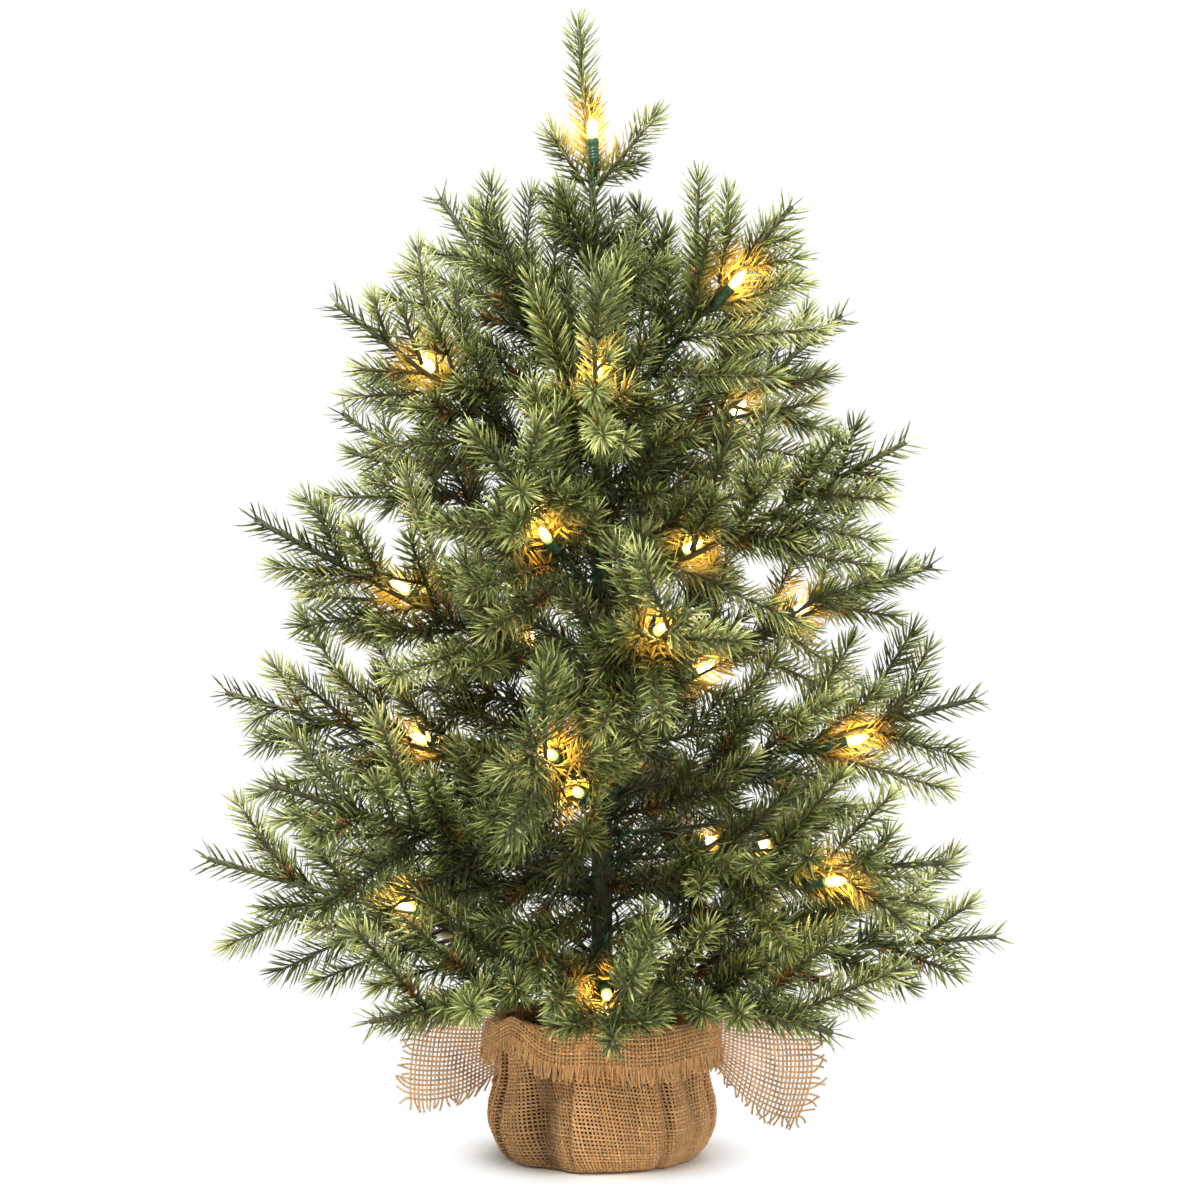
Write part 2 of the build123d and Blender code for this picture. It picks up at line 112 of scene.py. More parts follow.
def noise_node(nodes, links, scale, detail=4.0, stretch=(1, 1, 1)):
    """Noise over the piece's own coordinates, in metres, stretched along its axes."""
    place = nodes.new("ShaderNodeTexCoord")
    mapping = nodes.new("ShaderNodeMapping")
    mapping.inputs["Scale"].default_value = stretch
    noise = nodes.new("ShaderNodeTexNoise")
    noise.inputs["Scale"].default_value = scale
    noise.inputs["Detail"].default_value = detail
    links.new(place.outputs["Object"], mapping.inputs["Vector"])
    links.new(mapping.outputs["Vector"], noise.inputs["Vector"])
    return noise


def ramp_node(nodes, links, source, stops):
    ramp = nodes.new("ShaderNodeValToRGB")
    elements = ramp.color_ramp.elements
    while len(elements) < len(stops):
        elements.new(0.5)
    for element, (place, colour) in zip(elements, stops):
        element.position = place
        element.color = (*colour, 1)
    links.new(source, ramp.inputs["Fac"])
    return ramp


def bump_node(nodes, links, source, shader, strength, distance):
    bump = nodes.new("ShaderNodeBump")
    bump.inputs["Strength"].default_value = strength
    bump.inputs["Distance"].default_value = distance * MM
    links.new(source, bump.inputs["Height"])
    links.new(bump.outputs["Normal"], shader.inputs["Normal"])


def spread_roughness(nodes, links, source, shader, low, high):
    spread = nodes.new("ShaderNodeMapRange")
    spread.inputs["To Min"].default_value = low
    spread.inputs["To Max"].default_value = high
    links.new(source, spread.inputs["Value"])
    links.new(spread.outputs["Result"], shader.inputs["Roughness"])


def mottled(name, stops, scale, rough, bump, stretch=(1, 1, 1), metal=0.0):
    """A surface whose colour, roughness and fine relief all come from noise of one scale."""
    material, nodes, links, shader = new_material(name)
    noise = noise_node(nodes, links, scale, 5.0, stretch)
    ramp = ramp_node(nodes, links, noise.outputs["Fac"], stops)
    links.new(ramp.outputs["Color"], shader.inputs["Base Color"])
    spread_roughness(nodes, links, noise.outputs["Fac"], shader, *rough)
    fine = noise_node(nodes, links, scale * 4, 3.0, stretch)
    bump_node(nodes, links, fine.outputs["Fac"], shader, *bump)
    shader.inputs["Metallic"].default_value = metal
    return material


def tinted(name, scale, rough, bump, spread=0.25, sheen=0.0, glow=False):
    """A surface that takes its colour from the mesh's own Tint, with a little noise over it.

    With glow it also shines with that colour, a painted glow, as strongly as the mesh's painted glow
    attribute says.
    """
    material, nodes, links, shader = new_material(name)
    tint = nodes.new("ShaderNodeAttribute")
    tint.attribute_name = "Tint"
    noise = noise_node(nodes, links, scale)
    shade = ramp_node(nodes, links, noise.outputs["Fac"], [
        (0.3, (1 - spread,) * 3),
        (0.7, (1 + spread,) * 3),
    ])
    mix = nodes.new("ShaderNodeMix")
    mix.data_type = "RGBA"
    mix.blend_type = "MULTIPLY"
    mix.inputs["Factor"].default_value = 1.0
    links.new(tint.outputs["Color"], mix.inputs["A"])
    links.new(shade.outputs["Color"], mix.inputs["B"])
    links.new(mix.outputs["Result"], shader.inputs["Base Color"])
    spread_roughness(nodes, links, noise.outputs["Fac"], shader, *rough)
    bump_node(nodes, links, noise.outputs["Fac"], shader, *bump)
    shader.inputs["Sheen Weight"].default_value = sheen
    if glow:
        painted_glow_attribute = nodes.new("ShaderNodeAttribute")
        painted_glow_attribute.attribute_name = "PaintedGlow"
        links.new(tint.outputs["Color"], shader.inputs["Emission Color"])
        links.new(painted_glow_attribute.outputs["Fac"], shader.inputs["Emission Strength"])
    return material


def glowing(name, stops, strength, scale):
    """A lit surface, hotter and cooler in soft patches."""
    material, nodes, links, shader = new_material(name)
    noise = noise_node(nodes, links, scale, 1.0)
    ramp = ramp_node(nodes, links, noise.outputs["Fac"], stops)
    links.new(ramp.outputs["Color"], shader.inputs["Base Color"])
    links.new(ramp.outputs["Color"], shader.inputs["Emission Color"])
    shader.inputs["Emission Strength"].default_value = strength
    spread_roughness(nodes, links, noise.outputs["Fac"], shader, 0.08, 0.2)
    return material


# beside lit lamps the needles are painted gold and shine with a painted glow, standing in for the lamps'
# light
FOLIAGE = tinted("needle_film", 900, (0.3, 0.5), (0.25, 0.1), 0.22, glow=True)
STEM = tinted("stem_tape", 500, (0.5, 0.75), (0.6, 0.25), 0.4)
JUTE = tinted("jute_thread", 1600, (0.8, 0.98), (0.7, 0.18), 0.3, sheen=0.15)
TRUNK = mottled("trunk_tape", [(0.3, (0.012, 0.018, 0.007)), (0.6, (0.05, 0.055, 0.02)),
                               (0.8, (0.10, 0.07, 0.03))], 60, (0.5, 0.8), (0.6, 0.3), stretch=(1, 1, 3))
LEAD = mottled("lead_sleeve", [(0.35, (0.008, 0.045, 0.018)), (0.7, (0.02, 0.10, 0.04))],
               300, (0.35, 0.5), (0.3, 0.1))
HOLDER = mottled("holder_plastic", [(0.35, (0.008, 0.05, 0.022)), (0.7, (0.015, 0.085, 0.04))],
                 400, (0.35, 0.55), (0.2, 0.08))
GLASS = glowing("lamp_shell", [(0.35, (1.0, 0.66, 0.22)), (0.7, (1.0, 0.76, 0.34))], 1.2, 250)
GLASS_SHADER = GLASS.node_tree.nodes["Principled BSDF"]
GLASS_SHADER.inputs["Transmission Weight"].default_value = 0.9
GLASS_SHADER.inputs["IOR"].default_value = 1.15
CORE = glowing("lamp_core", [(0.3, (1.0, 0.80, 0.48)), (0.7, (1.0, 0.90, 0.66))], 14.0, 300)
DIM_GLASS = mottled("dim_shell", [(0.3, (0.55, 0.50, 0.38)), (0.7, (0.75, 0.70, 0.55))],
                    200, (0.06, 0.16), (0.1, 0.05))
TUB = mottled("tub_plastic", [(0.3, (0.018, 0.009, 0.004)), (0.7, (0.042, 0.022, 0.009))],
              90, (0.55, 0.75), (0.3, 0.1))
CEMENT = mottled("cast_cement", [(0.25, (0.20, 0.19, 0.18)), (0.5, (0.36, 0.35, 0.33)),
                                 (0.75, (0.48, 0.47, 0.44))], 160, (0.8, 0.95), (0.8, 0.6))
CASE = mottled("case_plastic", [(0.3, (0.006, 0.028, 0.012)), (0.7, (0.012, 0.048, 0.022))],
               500, (0.45, 0.6), (0.35, 0.08))
CELL = mottled("cell_sleeve", [(0.3, (0.10, 0.10, 0.11)), (0.7, (0.17, 0.17, 0.18))],
               120, (0.3, 0.45), (0.1, 0.04))
CONTACT = mottled("nickel", [(0.3, (0.55, 0.54, 0.52)), (0.7, (0.72, 0.71, 0.69))],
                  400, (0.2, 0.4), (0.2, 0.03), metal=1.0)


# ---------- making meshes ----------
def mesh_piece(name, points, faces, material, body, slot, tints=None, glow=None):
    """A piece from points in millimetres and arrays of faces, riding on a body."""
    mesh = bpy.data.meshes.new(name)
    corners = np.concatenate([f.ravel() for f in faces]).astype(np.int32)
    sizes = np.concatenate([np.full(len(f), f.shape[1]) for f in faces])
    starts = np.concatenate([[0], np.cumsum(sizes)[:-1]]).astype(np.int32)
    mesh.vertices.add(len(points))
    mesh.vertices.foreach_set("co", (np.asarray(points) * MM).astype(np.float32).ravel())
    mesh.loops.add(len(corners))
    mesh.loops.foreach_set("vertex_index", corners)
    mesh.polygons.add(len(sizes))
    mesh.polygons.foreach_set("loop_start", starts)
    mesh.polygons.foreach_set("use_smooth", np.full(len(sizes), True))
    mesh.update(calc_edges=True)
    if tints is not None:
        layer = mesh.attributes.new("Tint", "FLOAT_COLOR", "POINT")
        shades = np.ones((len(points), 4), np.float32)
        shades[:, :3] = tints
        layer.data.foreach_set("color", shades.ravel())
    # glow is a painted glow: how strongly needles beside lit lamps shine
    if glow is not None:
        layer = mesh.attributes.new("PaintedGlow", "FLOAT", "POINT")
        layer.data.foreach_set("value", np.asarray(glow, np.float32))
    mesh.materials.append(material)
    piece = bpy.data.objects.new(name, mesh)
    bpy.context.scene.collection.objects.link(piece)
    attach(piece, body)
    return piece


def unit_rows(v):
    return v / np.maximum(np.linalg.norm(v, axis=-1, keepdims=True), 1e-9)


def run_along(line):
    """How far along a line each of its points is."""
    return np.concatenate([[0], np.cumsum(np.linalg.norm(np.diff(line, axis=0), axis=1))])


def across(ways):
    """Two unit vectors square to each given direction and to each other."""
    ways = np.asarray(ways, float)
    upright = np.abs(ways[..., 2:3]) > 0.9
    guide = np.where(upright, np.array([1.0, 0, 0]), np.array([0, 0, 1.0]))
    side = unit_rows(np.cross(ways, guide))
    return side, np.cross(side, ways)


def tubes(lines, sides, ups, widths, heights, corners=4):
    """Closed tubes along (n, m, 3) lines, as points and faces; widths and heights are (n, m)."""
    n, m = lines.shape[:2]
    turn = (np.arange(corners) + 0.5) * 2 * math.pi / corners
    reach = 0.5 / math.cos(math.pi / corners)
    across_part = sides[:, :, None] * (widths[:, :, None] * reach * np.cos(turn))[..., None]
    up_part = ups[:, :, None] * (heights[:, :, None] * reach * np.sin(turn))[..., None]
    points = (lines[:, :, None] + across_part + up_part).reshape(-1, 3)
    first = (np.arange(n)[:, None, None] * m + np.arange(m - 1)[None, :, None]) * corners
    c = np.arange(corners)[None, None]
    after = (c + 1) % corners
    walls = np.stack([first + c, first + after, first + corners + after, first + corners + c], -1)
    foot = np.arange(n)[:, None] * m * corners + np.arange(corners)[::-1]
    head = (np.arange(n)[:, None] * m + m - 1) * corners + np.arange(corners)
    return points, [walls.reshape(-1, 4), foot, head]


def line_frames(lines, normals=None):
    """Side and up vectors along (n, m, 3) lines, the ups as near as can be to the given normals."""
    ways = unit_rows(np.gradient(lines, axis=1))
    if normals is None:
        return across(ways)
    sides = unit_rows(np.cross(normals, ways))
    return sides, unit_rows(np.cross(ways, sides))


def turned(outline, foot, way):
    """A turned form from (radius, along) pairs about the line from foot along way."""
    rings = TURNED_CORNERS
    side, up = across(way)
    turn = np.arange(rings) * 2 * math.pi / rings
    circle = np.cos(turn)[:, None] * side + np.sin(turn)[:, None] * up
    points = np.concatenate([foot + way * along + circle * radius for radius, along in outline])
    k = np.arange(len(outline) - 1)[:, None] * rings
    c = np.arange(rings)[None]
    after = (c + 1) % rings
    walls = np.stack([k + c, k + after, k + rings + after, k + rings + c], -1).reshape(-1, 4)
    lids = [np.arange(rings)[None, ::-1], (np.arange(rings) + (len(outline) - 1) * rings)[None]]
    return points, [walls] + lids


def joined(parts):
    """Several (points, faces) as one."""
    offset = 0
    points = []
    faces = []
    for part_points, part_faces in parts:
        points.append(part_points)
        faces += [f + offset for f in part_faces]
        offset += len(part_points)
    return np.concatenate(points), faces


# ---------- reading the frame ----------
def islands(node):
    """Each loose solid of a CAD node, as its points in millimetres."""
    mesh = NODES[node].data
    points = np.zeros(len(mesh.vertices) * 3, np.float32)
    mesh.vertices.foreach_get("co", points)
    points = points.reshape(-1, 3) / MM
    keys = np.round(points, 2)
    _, same = np.unique(keys, axis=0, return_inverse=True)
    same = same.ravel()
    edges = np.zeros(len(mesh.edges) * 2, np.int32)
    mesh.edges.foreach_get("vertices", edges)
    edges = same[edges.reshape(-1, 2)]
    label = np.arange(same.max() + 1)
    while True:
        low = np.minimum(label[edges[:, 0]], label[edges[:, 1]])
        before = label.copy()
        np.minimum.at(label, edges[:, 0], low)
        np.minimum.at(label, edges[:, 1], low)
        label = label[label]
        if (label == before).all():
            break
    owner = label[same]
    return [points[owner == k] for k in np.unique(owner)]


def rod_of(points):
    """The two end centres and end radii of a long solid."""
    centre = points.mean(0)
    way = np.linalg.svd(points - centre, full_matrices=False)[2][0]
    along = (points - centre) @ way
    ends = []
    for end in (along.min(), along.max()):
        near = points[np.abs(along - end) < 0.6]
        middle = near.mean(0)
        ends.append((middle, np.linalg.norm(near - middle, axis=1).max()))
    return ends


def joint_place(body):
    """Where a body's joint is, in millimetres."""
    return np.array(JOINTS[body]["pos_m"]) / MM


def rods(node, root):
    """Each solid of a node as (foot, tip, foot radius, tip radius), the foot nearer to root."""
    found = []
    for solid in islands(node):
        (a, ra), (b, rb) = rod_of(solid)
        if np.linalg.norm(a - root) > np.linalg.norm(b - root):
            a, b, ra, rb = b, a, rb, ra
        found.append((a, b, ra, rb))
    return found


# ---------- camera, floor and light ----------
def aim(thing, target):
    way = np.array(target, float) - np.array(thing.location)
    flat = math.hypot(way[0], way[1])
    thing.rotation_euler = (math.atan2(flat, -way[2]), 0, math.atan2(-way[0], way[1]))


camera_data = bpy.data.cameras.new("camera")
camera_data.lens = 77.5
camera_data.sensor_width = 36
camera = bpy.data.objects.new("camera", camera_data)
bpy.context.scene.collection.objects.link(camera)
camera.location = (-0.001, -1.35, 0.289)
camera.rotation_euler = (math.radians(90), 0, 0)
bpy.context.scene.camera = camera


def area_light(name, place, target, size, power, colour):
    data = bpy.data.lights.new(name, "AREA")
    data.shape = "DISK"
    data.size = size
    data.energy = power
    data.color = colour
    lamp = bpy.data.objects.new(name, data)
    bpy.context.scene.collection.objects.link(lamp)
    lamp.location = place
    aim(lamp, target)


area_light("key", (-0.8, -1.2, 1.9), (0, 0, 0.28), 0.7, 76, (1, 0.98, 0.94))
area_light("fill", (1.5, -1.2, 0.9), (0, 0, 0.28), 1.4, 18, (1, 0.99, 0.97))
area_light("back", (0.6, 1.7, 1.3), (0, 0, 0.3), 1.4, 26, (1, 1, 1))


def seen_directly(nodes, links):
    """1 where a camera, mirror or glass ray arrives, 0 where the surface only lights others."""
    path = nodes.new("ShaderNodeLightPath")
    total = None
    for ray in ("Is Camera Ray", "Is Glossy Ray", "Is Transmission Ray"):
        if total is None:
            total = path.outputs[ray]
            continue
        either = nodes.new("ShaderNodeMath")
        either.operation = "MAXIMUM"
        links.new(total, either.inputs[0])
        links.new(path.outputs[ray], either.inputs[1])
        total = either.outputs[0]
    return total


def make_world():
    world = bpy.data.worlds.new("studio")
    bpy.context.scene.world = world
    world.use_nodes = True
    nodes = world.node_tree.nodes
    links = world.node_tree.links
    nodes["Background"].inputs["Color"].default_value = (0.21, 0.21, 0.20, 1)
    white = nodes.new("ShaderNodeBackground")
    white.inputs["Color"].default_value = (1, 1, 1, 1)
    mix = nodes.new("ShaderNodeMixShader")
    links.new(seen_directly(nodes, links), mix.inputs["Fac"])
    links.new(nodes["Background"].outputs[0], mix.inputs[1])
    links.new(white.outputs[0], mix.inputs[2])
    links.new(mix.outputs[0], nodes["World Output"].inputs["Surface"])


def make_floor():
    """A pale floor that shows the shadow near the base and is plain white further out."""
    bpy.ops.mesh.primitive_plane_add(size=8)
    floor = bpy.context.object
    floor.name = "floor"
    material, nodes, links, shader = new_material("floor_paint")
    shader.inputs["Roughness"].default_value = 0.8
    shader.inputs["Specular IOR Level"].default_value = 0.1
    grain = noise_node(nodes, links, 6)
    paint = ramp_node(nodes, links, grain.outputs["Fac"], [
        (0.3, (0.88, 0.85, 0.80)),
        (0.7, (0.90, 0.87, 0.82)),
    ])
    links.new(paint.outputs["Color"], shader.inputs["Base Color"])
    place = nodes.new("ShaderNodeTexCoord")
    distance = nodes.new("ShaderNodeVectorMath")
    distance.operation = "LENGTH"
    links.new(place.outputs["Object"], distance.inputs[0])
    fade = nodes.new("ShaderNodeMapRange")
    fade.interpolation_type = "SMOOTHSTEP"
    fade.inputs["From Min"].default_value = 0.045
    fade.inputs["From Max"].default_value = 0.082
    links.new(distance.outputs["Value"], fade.inputs["Value"])
    both = nodes.new("ShaderNodeMath")
    both.operation = "MULTIPLY"
    links.new(fade.outputs["Result"], both.inputs[0])
    links.new(seen_directly(nodes, links), both.inputs[1])
    white = nodes.new("ShaderNodeEmission")
    mix = nodes.new("ShaderNodeMixShader")
    links.new(both.outputs[0], mix.inputs["Fac"])
    links.new(shader.outputs[0], mix.inputs[1])
    links.new(white.outputs[0], mix.inputs[2])
    links.new(mix.outputs[0], nodes["Material Output"].inputs["Surface"])
    floor.data.materials.append(material)


make_world()
make_floor()
bpy.context.scene.view_settings.view_transform = "Standard"


# ---------- foliage ----------
FRONT = np.array([0, -1350.0, 290.0])   # the front viewing point
BULB_REACH = 3.7          # clear radius round a bulb or holder
SIGHT_REACH = 5.4         # radius of the clear line from a bulb towards FRONT
BACK_REACH = 6.0          # the same for BACK_LAMPS, straight outwards
LAMP_NODES = [node for node in sorted(NODES) if node.startswith("lamp")]
BACK_LAMPS = ("lamps_13", "lamps_17")
UNLIT = {"lamps_01": 1}   # the unlit bulb's node and its number there
CLEAR = []                # (foot, tip, reach) of lines clear of needles
LIT = []                  # the middle of each lit bulb
BACKERS = {}              # a short sprig behind each bulb, by body

DARK = np.array([0.030, 0.042, 0.006])
MIDDLE = np.array([0.155, 0.205, 0.042])
LIGHT = np.array([0.66, 0.72, 0.27])
BUD = np.array([0.42, 0.17, 0.04])
# painted lamp light: the gold that needles beside lit bulbs are tinted towards
PAINTED_LAMP_GOLD = np.array([0.95, 0.58, 0.07])
STRIP = np.array([0.03, 0.30, 0.10])   # the bright film strips wound into the garland


def green(tone):
    """The needle colour at a tone from 0, near black, to 1, pale yellow-green: low tones are painted shade
    deep in the tree, high ones painted light on the outer tips.
    """
    tone = np.clip(tone, 0, 1)[..., None]
    low = DARK + (MIDDLE - DARK) * np.minimum(tone * 2, 1)
    return low + (LIGHT - MIDDLE) * np.maximum(tone * 2 - 1, 0) ** 1.2


def blades(feet, ways, curls, lengths, widths, tints):
    """Pointed, tapering needles: ridged on top, flat below, curling towards curls."""
    n = len(feet)
    sides, ups = across(ways)
    roll = rng.uniform(0, math.pi, n)[:, None]
    flat = sides * np.cos(roll) + ups * np.sin(roll)
    ridge = np.cross(ways, flat)
    points = np.zeros((n, 10, 3))
    shades = np.zeros((n, 10, 3))
    stations = [(0.0, 0.55), (0.34, 1.0), (0.72, 0.78)]
    for k, (share, swell) in enumerate(stations):
        middle = feet + ways * (lengths * share)[:, None] + curls * (lengths * share**2)[:, None]
        half = flat * (widths * swell / 2)[:, None]
        top = ridge * (NEEDLE_THICK * swell)
        points[:, 3 * k] = middle - half
        points[:, 3 * k + 1] = middle + half
        points[:, 3 * k + 2] = middle + top
        # painted shade at each needle's foot, where the needles crowd round the stem, growing lighter
        # towards the point
        shades[:, 3 * k:3 * k + 3] = (tints * (0.42 + 0.85 * share))[:, None]
    points[:, 9] = feet + ways * lengths[:, None] + curls * lengths[:, None]
    # the point itself is painted lighter still, a painted highlight
    shades[:, 9] = tints * 1.3
    base = np.arange(n)[:, None] * 10
    walls = []
    for k in (0, 3):
        for a, b in ((0, 1), (1, 2), (2, 0)):
            walls.append(base + np.array([k + a, k + b, k + 3 + b, k + 3 + a]))
    points_of_tips = [base + np.array([6 + a, 6 + b, 9]) for a, b in ((0, 1), (1, 2), (2, 0))]
    butt = base + np.array([2, 1, 0])
    faces = [np.concatenate(walls), np.concatenate(points_of_tips + [butt])]
    return points.reshape(-1, 3), faces, shades.reshape(-1, 3)


def needle_rows(line, pitch, per_row, lean, size, tone, tip_tuft=True):
    """Feet, directions, lengths and tones of the needles along a curved line of (m, 3) points."""
    along = run_along(line)
    total = along[-1]
    count = max(2, int(total / pitch * per_row))
    at = (np.arange(count) + 0.5) / count * total
    at = np.clip(at + rng.normal(0, pitch * 0.08, count), 0, total)
    feet = np.stack([np.interp(at, along, line[:, k]) for k in range(3)], 1)
    tangents = unit_rows(np.gradient(line, axis=0))
    ways = unit_rows(np.stack([np.interp(at, along, tangents[:, k]) for k in range(3)], 1))
    sides, ups = across(ways)
    turn = (np.arange(count) * GOLDEN_TURN + rng.normal(0, 0.14, count))[:, None]
    out = sides * np.cos(turn) + ups * np.sin(turn)
    share = at / total
    end = np.clip(1 - (total - at) / TIP_RUN, 0, 1) if tip_tuft else np.zeros(count)
    angle = np.radians(lean + rng.normal(0, 2.4, count) - end * (lean - 18))[:, None]
    aim_way = unit_rows(ways * np.cos(angle) + out * np.sin(angle))
    lengths = size * rng.uniform(0.90, 1.06, count) * (1 - 0.25 * end)
    curls = ways * rng.uniform(-0.02, 0.12, count)[:, None] - out * rng.uniform(0, 0.06, count)[:, None]
    # needles get lighter towards the sprig's end, painted light on its outer needles, with a random tone
    # each
    tones = tone + 0.34 * share + rng.normal(0, 0.20, count)
    return feet + out * 0.6, aim_way, curls, lengths, tones


def bent(foot, tip, sag, points=7):
    """A gently bent line from foot towards tip; sag is the sideways offset at the tip."""
    share = np.linspace(0, 1, points)[:, None]
    return foot + (tip - foot) * share + sag * share**2


# the tree's outline: (height, radius) of the wires' ends
CANOPY = np.array([
    (66, 58), (80, 84), (90, 116), (99, 176), (111, 194), (163, 194), (236, 184), (268, 170), (330, 164),
    (393, 134), (440, 124), (479, 99), (500, 74), (515, 50), (530, 36), (570, 30), (588, 4),
])


def canopy_radius(height):
    return float(np.interp(height, CANOPY[:, 0], CANOPY[:, 1]))


def outerness(place):
    """0 at the trunk, 1 at the outside of the tree's outline."""
    return min(1, math.hypot(place[0], place[1]) / canopy_radius(max(place[2], 100)))


def fits(place):
    """Whether a twig may end there: inside the tree's outline and clear of the base."""
    lowest = 76 - 0.14 * min(place[1], 0)
    inside = math.hypot(place[0], place[1]) < canopy_radius(place[2])
    return place[2] > lowest and place[1] > FRONT_EDGE and inside


def twig(foot, way, out, yaw, length):
    """The line of a twig that leaves a stem at foot, at yaw degrees from way towards out."""
    angle = math.radians(yaw)
    aim_way = way * math.cos(angle) + out * math.sin(angle)
    side, up = across(aim_way)
    turn = rng.uniform(0, 2 * math.pi)
    sag = (side * math.cos(turn) + up * math.sin(turn)) * rng.uniform(0.0, 2.4)
    while not fits(foot + aim_way * length):
        length *= 0.88
        if length < 15:
            return None
    return bent(foot, foot + aim_way * length, sag * length / 60)


def round_about(way):
    """A random direction square to way."""
    side, up = across(way)
    turn = rng.uniform(0, 2 * math.pi)
    return side * math.cos(turn) + up * math.sin(turn)


def sprig_tone_and_shade(place):
    # painted shade: sprigs deep in the tree are darker and outer ones lighter; sprigs above 370 mm are
    # lighter too, and each has a random tone
    high = max(0, place[2] - 370) / 200
    return 0.06 + 0.36 * outerness(place) + rng.normal(0, 0.15) + 0.20 * high


def dressed(name, sprigs, body):
    """Needles and stems for sprigs, each (line, foot radius, tip radius, kind)."""
    sets = []
    parts = []
    colours = []
    for line, thick, thin, kind in [s for s in sprigs if s[0] is not None]:
        tone = sprig_tone_and_shade(line.mean(0))
        if kind == "stem":
            size = NEEDLE_LENGTH * 0.9
            # a stem's own needles sit deeper in the tree and are darker, as painted shade
            sets.append(needle_rows(line[1:], STEM_ROW_PITCH, 5, 48, size, tone - 0.12, False))
        else:
            size = NEEDLE_LENGTH * (1 if kind == "sprig" else 0.88)
            sets.append(needle_rows(line, ROW_PITCH, ROW_NEEDLES, 52, size, tone))
        if kind != "stem" and rng.random() < 0.45:
            start = int(rng.integers(0, 3))
            bud = needle_rows(line[start:start + 2], 1.3, 3, 40, 6.5, 0, False)
            sets.append(bud[:4] + (np.full(len(bud[4]), BUD_TONE),))
        sides, ups = line_frames(line[None])
        across_stem = np.linspace(thick, thin, len(line))[None] * 2
        part = tubes(line[None], sides, ups, across_stem, across_stem, 6)
        parts.append(part)
        shade = np.array([0.06, 0.06, 0.02]) * rng.uniform(0.7, 1.6)
        colours.append(np.tile(shade, (len(part[0]), 1)))
    feet, ways, curls, sizes, tones = (np.concatenate([s[k] for s in sets]) for k in range(5))
    clear = keep_clear(feet, ways, sizes)
    feet, ways, curls, sizes, tones = (a[clear] for a in (feet, ways, curls, sizes, tones))
    warm = tones == BUD_TONE
    tints = green(tones)
    tints[warm] = BUD * rng.uniform(0.6, 1.5, (warm.sum(), 1))
    tints = tints * rng.uniform(0.85, 1.15, (len(tints), 1))
    widths = NEEDLE_WIDTH * rng.uniform(0.8, 1.15, len(feet))
    # needles beside lit lamps get painted lamp light: a gold tint and a painted glow
    painted_warmth, glow = painted_lamp_light(feet + ways * (sizes * 0.6)[:, None])
    tints = tints + (PAINTED_LAMP_GOLD - tints) * painted_warmth[:, None]
    points, faces, shades = blades(feet, ways, curls, sizes, widths, tints)
    mesh_piece(f"needles_{name}", points, faces, FOLIAGE, body, "foliage", shades, np.repeat(glow, 10))
    points, faces = joined(parts)
    return mesh_piece(f"stems_{name}", points, faces, STEM, body, "trunk", np.concatenate(colours))


def painted_lamp_light(points):
    """Painted lamp light: how far each needle beside a lit lamp is tinted gold, and how strongly it shines
    with a painted glow.
    """
    painted_warmth = np.zeros(len(points))
    glow = np.zeros(len(points))
    for centre in LIT:
        away = np.linalg.norm(points - centre, axis=1)
        painted_warmth = np.maximum(painted_warmth, 0.95 * np.clip(1 - (away - 8) / 15, 0, 1) ** 1.2)
        glow = np.maximum(glow, 1.5 * np.clip(1 - (away - 4) / 18, 0, 1) ** 2)
    return painted_warmth, glow


def keep_clear(feet, ways, sizes):
    """Which needles stay out of the lamps and of the lines along which they show."""
    stations = [feet + ways * (sizes * share)[:, None] for share in (0.2, 0.6, 1.0)]
    free = np.ones(len(feet), bool)
    for foot, tip, reach in CLEAR:
        run = tip - foot
        for points in stations:
            share = np.clip(((points - foot) @ run) / (run @ run), 0, 1)
            gap = np.linalg.norm(points - foot - share[:, None] * run, axis=1)
            free &= gap > reach
    return free


def foliage(node, body):
    """Replaces a branch's bare wires by tape-wrapped stems, twigs and needles."""
    root = joint_place(body)
    wires = rods(node, root)
    near_root = [np.linalg.norm(w[0] - root) for w in wires]
    stem = wires[int(np.argmin(near_root))]
    stem_way = unit_rows(stem[1] - stem[0])
    stem_length = np.linalg.norm(stem[1] - stem[0])
    sprigs = []
    for wire in wires:
        foot, tip = wire[:2]
        length = np.linalg.norm(tip - foot)
        way = (tip - foot) / length
        if wire is stem and node == "leader":
            sprigs.append((bent(foot, tip - way * TUFT, 0 * way, 12), 1.5, 1.0, "sprig"))
            continue
        if wire is stem:
            sprigs.append((bent(foot, tip, 0 * way, 12), 1.5, 1.15, "stem"))
            continue
        sag = round_about(way) * rng.uniform(0.0, 0.04) * length
        line = bent(foot, tip - way * TUFT, sag)
        sprigs.append((line, 1.1, 0.6, "sprig"))
        inner = np.linalg.norm(foot - root) < 0.55 * stem_length
        for _ in range(TWIGS_A_SPRIG if inner and length > 38 else 0):
            share = rng.uniform(0.12, 0.55)
            start = foot + (tip - foot) * share
            sprigs.append((twig(start, way, round_about(way), 42, length * rng.uniform(0.32, 0.46)),
                           0.8, 0.5, "twig"))
    level = unit_rows(np.cross(stem_way, [0, 0, 1.0]))
    lift = np.cross(level, stem_way)
    for k in range(TWIGS_A_STEM if node != "leader" else 0):
        share = 0.14 + 0.84 * (k + rng.random()) / TWIGS_A_STEM
        start = stem[0] + stem_way * stem_length * share
        turn = math.radians(rng.normal(0, 34))
        out = (lift * math.cos(turn) + level * math.sin(turn)) * (1 if k % 2 else -1)
        length = rng.uniform(64, 90) * (1.08 - 0.25 * share)
        yaw = rng.uniform(40, 54) - 10 * share
        sprigs.append((twig(start, stem_way, out, yaw, length), 0.95, 0.55, "sprig"))
    sprigs += [(line, 0.8, 0.5, "twig") for line in BACKERS.get(body, [])]
    stems = dressed(node, sprigs, body)
    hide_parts(node)


def lamp_body(node):
    return "leader" if node == "lamp_leader" else "branch_" + node[-2:]


